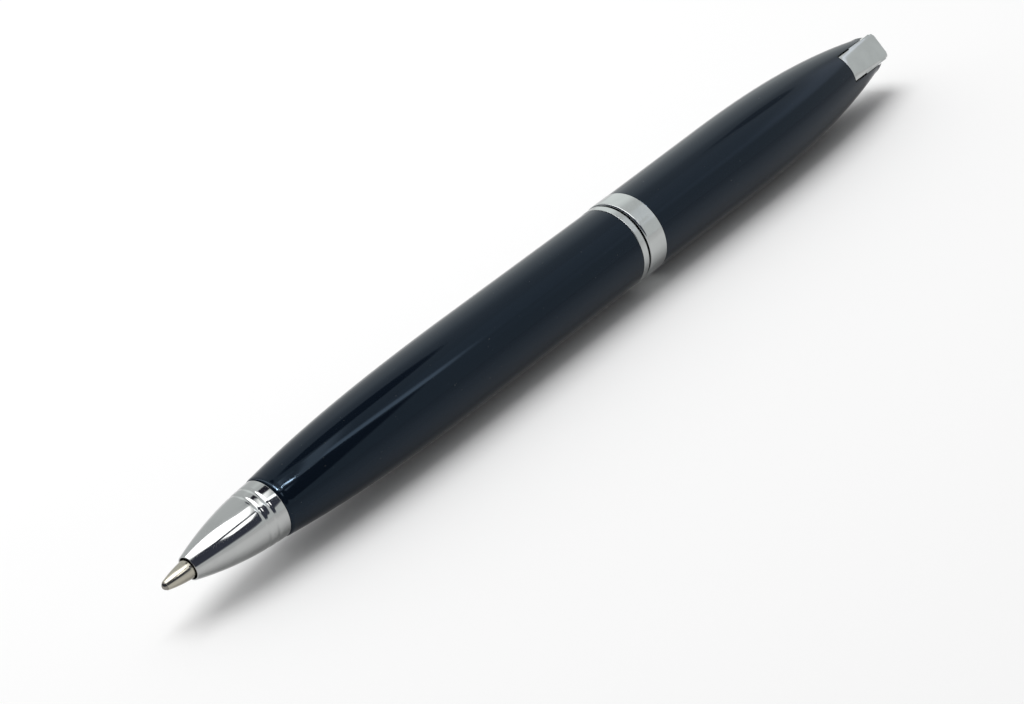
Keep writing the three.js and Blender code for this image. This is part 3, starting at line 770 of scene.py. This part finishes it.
nose_outside = with_grooves(nose_curve, GROOVES, GROOVE_HALF, GROOVE_DEPTH)
nose_inside = [
    (JOINT_LINE - NOSE_GAP, SPIGOT_RADIUS), (nose_end, SPIGOT_RADIUS), (nose_end, SPIGOT_BORE),
    (nose_front + SPRING_STEP, SPIGOT_BORE), (nose_front + SPRING_STEP, CHANNEL_RADIUS),
    (nose_front + FRONT_WALL, CHANNEL_RADIUS), (nose_front + FRONT_WALL, NOSE_BORE),
    (nose_front, NOSE_BORE),
]
nose_mesh = turned_mesh(rounded(nose_outside + nose_inside, EDGE), mirror_plate)
place_piece("nose_cone_fine", nose_mesh, "lower_half", "chrome", ["nose_cone"])

# %% [markdown]
# The refill's tip is a small turned cone whose lip is rolled over the writing ball. The ball itself is a
# full sphere, so its mesh is a half circle turned like everything else.

# %% Writing tip and ball
tip_front, tip_end = along_pen("writing_tip")
BALL_RADIUS = 0.5
TIP_RADIUS = 1.15
LIP_RADIUS = 0.545
TIP_SWELL = (1.85, 0.99)
TIP_CONE_END = 3.5
INK_BORE = 0.3
SEAT_END = 1.07
SEAT_RADIUS = 0.57
tip_cone = bezier([(tip_front, LIP_RADIUS), TIP_SWELL, (TIP_CONE_END, TIP_RADIUS)], 24)
tip_inside = [(tip_end, TIP_RADIUS), (tip_end, INK_BORE), (SEAT_END, INK_BORE), (SEAT_END, SEAT_RADIUS),
              (BALL_RADIUS, SEAT_RADIUS), (tip_front, LIP_RADIUS - 0.05)]
tip_mesh = turned_mesh(rounded(tip_cone + tip_inside, 0.04), nickel_silver, 128)
place_piece("writing_tip_fine", tip_mesh, "refill", "nickel_silver", ["writing_tip"])
half_circle = [(BALL_RADIUS - BALL_RADIUS * math.cos(math.pi * step / 32),
                max(0.0, BALL_RADIUS * math.sin(math.pi * step / 32))) for step in range(33)]
half_circle[0], half_circle[-1] = (0.0, 0.0), (2 * BALL_RADIUS, 0.0)
place_piece("ball_fine", turned_mesh(half_circle, ball_steel, 64), "ball", "ball_steel", ["ball"])

# %% [markdown]
# The lower barrel swells from the nose to its widest place and then runs nearly straight to the ring. The
# swell is one cubic curve. Behind the visible end a thinner neck carries the trim ring.

# %% Lower barrel
lower_front, neck_end = along_pen("lower_barrel")
ring_front, ring_end = along_pen("lower_trim_ring")
SHELL_GAP = 0.02
FRONT_ROUND = 0.70
FRONT_DROP = 0.30
FRONT_RADIUS = 3.73
FRONT_SWELL = (lower_front + 8.36, 4.85)
REAR_SWELL = (lower_front + 18.34, 5.49)
BELLY = (lower_front + 34.4, 5.49)
SHELL_END_RADIUS = 5.45
NECK_RADIUS = 5.0
MAIN_BORE = 4.55
FRONT_BORE = 3.15
BORE_SHOULDER = 13.2
BORE_STEP = 0.2
shell_end = ring_front - SHELL_GAP
lower_curve = bezier([(lower_front, FRONT_RADIUS), FRONT_SWELL, REAR_SWELL, BELLY], 96)
front_radius = height_at(lower_curve, JOINT_LINE + FRONT_ROUND)
front_edge = []
for step in range(10):
    angle = math.pi / 2 * step / 10
    front_edge.append((JOINT_LINE + FRONT_ROUND * (1 - math.cos(angle)),
                       front_radius - FRONT_DROP * (1 - math.sin(angle))))
lower_swell = front_edge + [p for p in lower_curve if p[0] > JOINT_LINE + FRONT_ROUND]
lower_outline = [Vector(p) for p in lower_swell] + [
    (shell_end, SHELL_END_RADIUS), (shell_end, NECK_RADIUS), (neck_end, NECK_RADIUS), (neck_end, MAIN_BORE),
    (nose_end + BORE_SHOULDER, MAIN_BORE), (nose_end + BORE_STEP, FRONT_BORE), (JOINT_LINE, FRONT_BORE),
]
lower_mesh = turned_mesh(rounded(lower_outline, 0.09), lacquer)
place_piece("lower_barrel_fine", lower_mesh, "lower_half", "lacquer", ["lower_barrel"])

# %% [markdown]
# Two bright rings mark the middle. The narrow one belongs to the lower half and the broad one to the upper
# half, and the dark line between them is where the pen turns.

# %% Trim ring and centre band
TRIM_RADIUS = 5.5
RING_BORE = 5.05
SPLIT_WIDER = 0.18
TRIM_LONGER = 0.07
trim_end = ring_end + TRIM_LONGER
trim_outline = [(ring_front, RING_BORE), (ring_front, TRIM_RADIUS), (trim_end, TRIM_RADIUS),
                (trim_end, RING_BORE)]
trim_mesh = turned_mesh(rounded(trim_outline, 0.09), satin_plate)
place_piece("lower_trim_ring_fine", trim_mesh, "lower_half", "chrome", ["lower_trim_ring"])
band_front, band_end = along_pen("centre_band")
BAND_RADIUS = 5.6
BAND_ROUND = 0.28
split_end = band_front + SPLIT_WIDER
band_outline = []
for step in range(17):
    tilt = math.pi / 2 * (1 - step / 16)
    band_outline.append(Vector((split_end + BAND_ROUND * (1 - math.sin(tilt)),
                                BAND_RADIUS - BAND_ROUND * (1 - math.cos(tilt)))))
band_outline += [(band_end, BAND_RADIUS), (band_end, RING_BORE), (split_end, RING_BORE)]
band_mesh = turned_mesh(rounded(band_outline, 0.08), satin_plate)
place_piece("centre_band_fine", band_mesh, "upper_half", "chrome", ["centre_band"])

# %% [markdown]
# The upper barrel tapers to a rounded fork that holds the clip. On the real pen the tube is turned whole
# and slotted afterwards, and it is made in the same order here. The outline runs from the slot's foot
# through the bore to the front, and back along the outside over the belly to the dome.

# %% Upper barrel
upper_front = along_pen("upper_barrel")[0]
pen_end = along_pen("clip")[1]
BELLY_RADIUS = 5.70
DOME_RADIUS = 2.85
DOME_LENGTH = 3.2
BELLY_START = 20.2
SHELL_FRONT_RADIUS = 5.57
SHELL_BORE = 4.6
SHELL_BORE_END = 114.2
SEAT_HOLE_START = 117.7
SEAT_HOLE_RADIUS = 3.1
SLOT_FRONT = 126.75
FORK_LENGTH = 10.55
SLOT_HALF = 2.2
SLOT_FOOT = 2.13
SLOT_STEP = 0.8
upper_belly = band_end + BELLY_START
dome_front = SLOT_FRONT + FORK_LENGTH - DOME_LENGTH
taper = dome_front - upper_belly
upper_curve = bezier([(upper_belly, BELLY_RADIUS), (upper_belly + taper * 0.436, BELLY_RADIUS + 0.04),
                      (upper_belly + taper * 0.732, DOME_RADIUS + 1.85), (dome_front, DOME_RADIUS)], 48)
dome = [(dome_front + DOME_LENGTH * math.sin(math.pi * step / 48),
         DOME_RADIUS * math.cos(math.pi * step / 48)) for step in range(1, 24)]
dome.append((dome_front + DOME_LENGTH, 0.0))
shell_front = band_end + SHELL_GAP
upper_outside = [Vector((shell_front, SHELL_FRONT_RADIUS))] + upper_curve + dome
upper_outline = [
    (SLOT_FRONT, 0.0), (SLOT_FRONT, SEAT_HOLE_RADIUS), (SEAT_HOLE_START, SEAT_HOLE_RADIUS),
    (SHELL_BORE_END, SHELL_BORE), (upper_front, SHELL_BORE), (upper_front, NECK_RADIUS),
    (shell_front, NECK_RADIUS),
] + upper_outside
upper_mesh = turned_mesh(rounded(upper_outline, 0.09, closed=False), lacquer)
print("the whole shell encloses", round(volume(upper_mesh), 1), "mm3")

# %% [markdown]
# What isn't round needs two more tools. A loft skins a row of cross-sections into one closed mesh, which
# suits the cutters and the clip's plate. A Boolean modifier then cuts or joins two closed meshes.

# %% Lofts and cuts


def loft_mesh(rings, material):
    """A closed mesh through rings of points with equal counts, with flat ends."""
    shape = bmesh.new()
    rows = [[shape.verts.new(point) for point in ring] for ring in rings]
    for row, following in zip(rows, rows[1:]):
        for n, corner in enumerate(row):
            after = (n + 1) % len(row)
            shape.faces.new((corner, row[after], following[after], following[n]))
    shape.faces.new(rows[0])
    shape.faces.new(rows[-1])
    mesh = bpy.data.meshes.new("loft")
    shape.to_mesh(mesh)
    shape.free()
    mesh.materials.append(material)
    return outwards(mesh)


def combined(mesh, other, operation):
    """The cut or union of two closed meshes."""
    first, second = bpy.data.objects.new("first", mesh), bpy.data.objects.new("second", other)
    for helper in (first, second):
        bpy.context.scene.collection.objects.link(helper)
    modifier = first.modifiers.new("cut", "BOOLEAN")
    modifier.object = second
    modifier.operation = operation
    modifier.solver = "EXACT"
    evaluated = first.evaluated_get(bpy.context.evaluated_depsgraph_get())
    result = bpy.data.meshes.new_from_object(evaluated)
    bpy.data.objects.remove(first)
    bpy.data.objects.remove(second)
    return result


# %% [markdown]
# The fork is a slot through the shell's end, slightly wider near the surface, where the clip's plate lies.
# Its edges could be bevelled after the cut, but that fails easily on such long thin faces. So the cutter
# itself flares where it leaves the lacquer, and the edges come out softly rounded, as lacquer leaves them.
# A second, shallow slot lets the clip's arm out on the far side.

# %% Fork of the upper barrel


def slot_rings(start, end, half, curve, soften):
    """Cross-sections of the slot cutter. Each flares by a quarter circle where it meets the barrel."""
    rings = []
    for step in range(41):
        along = start + (end - start) * step / 40
        radius = max(height_at(curve, min(along, dome_front + DOME_LENGTH - 0.01)), half + 0.02)
        surface = math.sqrt(radius ** 2 - half ** 2)
        step_height = max(surface - SLOT_STEP, 0.03)
        flare = [(SLOT_FOOT, step_height), (half, step_height + 0.01), (half, max(surface - soften, 0.06))]
        for part in range(1, 6):
            angle = math.pi / 2 * part / 5
            flare.append((half + soften * (1 - math.cos(angle)), surface - soften + soften * math.sin(angle)))
        flare.append((half + soften, surface + 3))
        upper = [(along, y, z) for y, z in flare] + [(along, -y, z) for y, z in reversed(flare)]
        lower = [(along, -y, -z) for y, z in flare] + [(along, y, -z) for y, z in reversed(flare)]
        rings.append(upper + lower)
    return rings


SLOT_SOFTNESS = 0.05
ARM_SLOT_TOP = -3.45
ARM_SLOT_FOOT = -8
ARM_SLOT_REACH = 4.4
fork_end = dome_front + DOME_LENGTH + 1
fork_rings = slot_rings(SLOT_FRONT - 0.02, fork_end, SLOT_HALF, upper_outside, SLOT_SOFTNESS)
upper_mesh = combined(upper_mesh, loft_mesh(fork_rings, lacquer), "DIFFERENCE")
arm_slot_section = [(SLOT_HALF, ARM_SLOT_TOP), (-SLOT_HALF, ARM_SLOT_TOP), (-SLOT_HALF, ARM_SLOT_FOOT),
                    (SLOT_HALF, ARM_SLOT_FOOT)]
arm_slot = [[(along, y, z) for y, z in arm_slot_section]
            for along in (SLOT_FRONT - ARM_SLOT_REACH, SLOT_FRONT + 1)]
upper_mesh = combined(upper_mesh, loft_mesh(arm_slot, lacquer), "DIFFERENCE")
place_piece("upper_barrel_fine", outwards(upper_mesh), "upper_half", "lacquer", ["upper_barrel"])

# %% [markdown]
# The clip is one piece of metal: a plate under the thumb, a web between the fork's horns, and a sprung arm
# on the far side. The plate is crowned at its front, where it carries on the barrel's curve, and flat at
# its rear. A bevelled box would have the outline but not the fading crown, so the plate is a loft whose
# cross-sections each take their own height and crown.

# %% Press plate
PLATE_HALF = 1.985
PLATE_THICK = 0.75
PLATE_FRONT_HEIGHT = 3.95
PLATE_REAR_HEIGHT = 1.97
PLATE_CROWN = 0.42
PLATE_CORNER = 0.6
PLATE_EDGE = 0.10
plate_front = pen_end - 9.85


def plate_height(along):
    share = (along - plate_front) / (pen_end - plate_front)
    return PLATE_FRONT_HEIGHT + (PLATE_REAR_HEIGHT - PLATE_FRONT_HEIGHT) * share


def plate_drop(along):
    return PLATE_CROWN * max(0.0, 1 - (along - plate_front) / (pen_end - plate_front)) ** 1.5


def plate_ring(along, half, inset):
    """One cross-section of the plate, whose corners are rounded and which can shrink towards an end."""
    ring = []
    top_half, thick = half - inset, PLATE_THICK - 2 * inset
    edge = PLATE_EDGE
    middle = plate_height(along)
    for step in range(17):
        y = top_half * (1 - step / 8)
        side = max(0.0, abs(y) - (top_half - edge))
        fall = edge - math.sqrt(max(0.0, edge ** 2 - side ** 2))
        ring.append((along, y, middle - inset - plate_drop(along) * (y / PLATE_HALF) ** 2 - fall))
    bottom = middle - inset - thick
    ring += [(along, -top_half, bottom + edge), (along, -top_half + edge, bottom),
             (along, top_half - edge, bottom), (along, top_half, bottom + edge)]
    return ring


plate_rings = []
for step in range(5):
    angle = math.pi / 2 * step / 4
    plate_rings.append(plate_ring(plate_front + PLATE_EDGE * (1 - math.cos(angle)), PLATE_HALF,
                                  PLATE_EDGE * (1 - math.sin(angle))))
corner_front = pen_end - PLATE_CORNER
for step in range(1, 12):
    along = plate_front + PLATE_EDGE + (corner_front - plate_front - PLATE_EDGE) * step / 12
    plate_rings.append(plate_ring(along, PLATE_HALF, 0.0))
for step in range(0, 13):
    angle = math.pi / 2 * step / 13
    along = corner_front + PLATE_CORNER * math.sin(angle)
    half = PLATE_HALF - PLATE_CORNER * (1 - math.cos(angle))
    inset = max(0.0, PLATE_EDGE - (pen_end - along))
    plate_rings.append(plate_ring(along, half, PLATE_EDGE - math.sqrt(PLATE_EDGE ** 2 - inset ** 2)))
plate_mesh = loft_mesh(plate_rings, satin_plate)
print("the press plate has", len(plate_mesh.polygons), "faces")

# %% [markdown]
# The web and the arm are flat stock, cut to a side outline and bevelled along every edge. The arm leaves
# the fork at a slant, then runs along the barrel, and the ridge near its end is what grips a pocket. Both
# are joined with the plate into one mesh.

# %% Web and arm


def slab_mesh(outline, half, material, edge):
    """A flat piece from a side outline of (along, height) points, with bevelled edges."""
    rings = [[(along, side * half, high) for along, high in outline] for side in (-1, 1)]
    mesh = loft_mesh(rings, material)
    shape = bmesh.new()
    shape.from_mesh(mesh)
    bmesh.ops.bevel(shape, geom=list(shape.edges), offset=edge, segments=3, profile=0.5, affect="EDGES",
                    clamp_overlap=True)
    shape.to_mesh(mesh)
    shape.free()
    return outwards(mesh)


ARM_FACE = 7.19
ARM_THICK = 1.0
ARM_REAR_FACE = 2.02
ARM_BEND = 19
ARM_LENGTH = 43
ARM_CORNER = 0.35
RIDGE_END = 6
RIDGE_CREST = (2.65, 3.35)
RIDGE_FACE = 5.8
WEB_INSET = 3.07
WEB_REAR_INSET = 0.9
WEB_REAR_FOOT = 1.92
WEB_PLAY = 0.08
WEB_SUNK = 0.08
web_at = plate_front + WEB_INSET
web_rear = pen_end - WEB_REAR_INSET
arm_bend, arm_end = pen_end - ARM_BEND, pen_end - ARM_LENGTH
arm_rise = (ARM_FACE - ARM_REAR_FACE) / (ARM_BEND - WEB_REAR_INSET)
arm_depth = ARM_THICK * math.hypot(1, arm_rise)
web_foot = ARM_FACE - arm_rise * (web_at - arm_bend) - arm_depth
web_half = SLOT_HALF - WEB_PLAY
web_outline = [
    (web_at, -web_foot), (web_rear, -WEB_REAR_FOOT),
    (web_rear, plate_height(web_rear) - plate_drop(web_rear) - WEB_SUNK),
    (web_at, plate_height(web_at) - plate_drop(web_at) - WEB_SUNK),
]
arm_top = ARM_FACE - ARM_THICK
arm_outline = [
    (arm_end + ARM_CORNER, -ARM_FACE), (arm_bend, -ARM_FACE), (web_rear, -ARM_REAR_FACE),
    (web_rear, -ARM_REAR_FACE + arm_depth), (web_at, -web_foot + arm_depth / 2), (web_at, -web_foot),
    (arm_bend, -arm_top), (arm_end + RIDGE_END, -arm_top), (arm_end + RIDGE_CREST[1], -RIDGE_FACE),
    (arm_end + RIDGE_CREST[0], -RIDGE_FACE), (arm_end, -arm_top), (arm_end, -ARM_FACE + ARM_CORNER),
]
web_mesh = slab_mesh(web_outline, web_half, satin_plate, 0.05)
arm_mesh = slab_mesh(arm_outline, PLATE_HALF, satin_plate, 0.12)
clip_mesh = combined(combined(plate_mesh, web_mesh, "UNION"), arm_mesh, "UNION")
print("plate, web and arm together have", len(clip_mesh.polygons), "faces")

# %% [markdown]
# A small coil spring lifts the plate, and a shallow round cup under the plate takes its end. Without the
# cup the plate would press into the spring's wire when the clip is opened.

# %% Cup for the clip's spring
CUP_RADIUS = 1.1
CUP_DEPTH = 0.3
cup_at = sum(along_pen("clip_spring")) / 2


def cup_ring(lift):
    """One level of the round cup under the plate, where the clip's spring presses."""
    turns = [math.tau * step / 48 for step in range(48)]
    places = [(cup_at + CUP_RADIUS * math.sin(turn), CUP_RADIUS * math.cos(turn)) for turn in turns]
    return [(along, y, plate_height(along) - PLATE_THICK + lift) for along, y in places]


cup_cutter = loft_mesh([cup_ring(-0.5), cup_ring(CUP_DEPTH)], satin_plate)
clip_mesh = combined(clip_mesh, cup_cutter, "DIFFERENCE")
place_piece("clip_fine", outwards(clip_mesh), "clip", "chrome", ["clip"])

# %% [markdown]
# The pieces inside keep their imported shapes, and each gets its finish. The clip's seat is painted near
# black, as painted shade in the gap under the press plate.

# %% Finishes of the inner pieces
INNER_FINISHES = {
    "threaded_insert": brass, "guide_sleeve": steel, "friction_ring": rubber, "return_spring": steel,
    "cam_sleeve": brass, "mechanism_plug": plastic, "clip_seat": brass_in_painted_shade, "clip_pin": steel,
    "clip_spring": steel, "tip_holder": brass, "refill_tube": steel, "refill_plug": plastic,
    "refill_carrier": plastic,
}
for node, finish in INNER_FINISHES.items():
    materials = frame["nodes"][node].data.materials
    materials.clear()
    materials.append(finish)
print(len(INNER_FINISHES), "inner pieces keep their packed shape")
